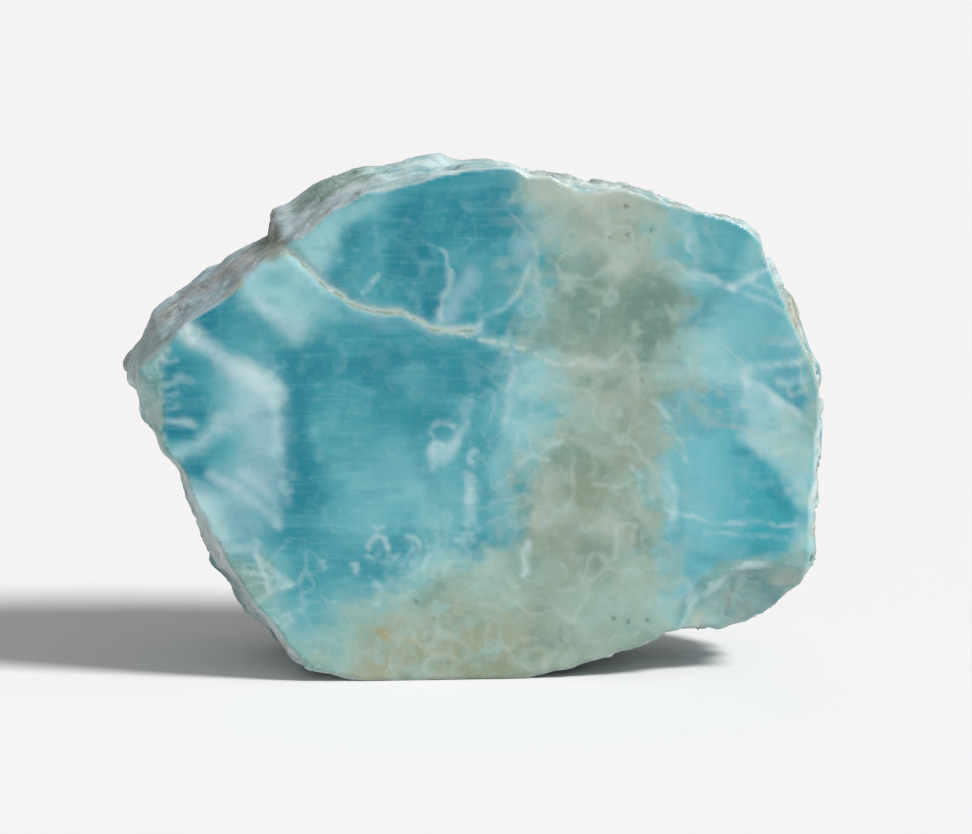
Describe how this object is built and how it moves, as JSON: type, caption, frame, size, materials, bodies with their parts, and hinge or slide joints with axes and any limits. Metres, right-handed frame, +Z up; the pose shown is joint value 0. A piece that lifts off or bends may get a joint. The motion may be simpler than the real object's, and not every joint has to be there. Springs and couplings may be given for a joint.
{
  "type": "rough larimar stone",
  "caption": "Rough lump of blue larimar, sawn flat and wet-polished on one side, with broken rough edges and back, standing on its flattened underside.",
  "frame": {"origin": "on the surface that the stone stands on, below the middle of its box", "axes": "+Z up; the sawn face looks along -Y; +X runs along the stone's width, away from its pointed left tip"},
  "size_m": [0.0812, 0.0286, 0.0598],
  "materials": {
    "larimar": "wet-polished saw cut, broken and rough everywhere else"
  },
  "bodies": {
    "root": {"larimar_stone": "larimar"}
  },
  "joints": []
}
